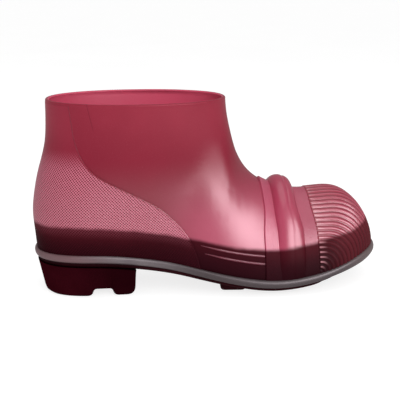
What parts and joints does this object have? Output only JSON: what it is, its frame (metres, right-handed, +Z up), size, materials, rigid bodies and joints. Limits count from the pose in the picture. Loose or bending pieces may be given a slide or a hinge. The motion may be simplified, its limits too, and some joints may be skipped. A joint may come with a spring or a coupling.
{
  "type": "rubber rain boot",
  "caption": "Ankle-high rubber rain boot with a round ribbed toe cap, a convex roll across the instep, a knurled heel counter, a welt and a low block heel with a lugged sole.",
  "frame": {"origin": "bottom centre of the boot's bounding box, on the ground it stands on", "axes": "+X from the heel to the toe, +Y to the inner (medial) side, +Z up from the ground"},
  "size_m": [0.2692, 0.0982, 0.1458],
  "materials": {
    "upper_rubber": "satin, slightly translucent burgundy rose",
    "counter_rubber": "satin with a fine diamond knurl over the lower half",
    "trim_rubber": "pearly satin rose",
    "toe_rubber": "satin with fine raised ribs",
    "welt_rubber": "satin warm grey",
    "sole_rubber": "matt dark maroon",
    "filler_rubber": "rough foamed filler",
    "insole_fibreboard": "pressed cellulose board",
    "footbed_foam": "open-cell foam",
    "footbed_fabric": "knitted cover"
  },
  "bodies": {
    "boot": {"upper_shell": "upper_rubber", "heel_counter": "counter_rubber", "instep_band": "trim_rubber", "instep_roll": "trim_rubber", "toe_band": "trim_rubber", "toe_cap": "toe_rubber", "side_bar_outer_upper": "trim_rubber", "side_bar_outer_lower": "trim_rubber", "side_bar_inner_upper": "trim_rubber", "side_bar_inner_lower": "trim_rubber", "welt_strip": "welt_rubber", "outsole": "sole_rubber", "heel_block": "sole_rubber", "heel_core": "filler_rubber", "insole_board": "insole_fibreboard"},
    "footbed": {"footbed_foam": "footbed_foam", "footbed_cover": "footbed_fabric"}
  },
  "joints": [
    {"name": "insole_lift", "type": "hinge", "parent": "boot", "child": "footbed", "pos_m": [0.12246, -0.0002, 0.0243], "axis": [0, 1, 0], "range_deg": [0, 7]}
  ]
}
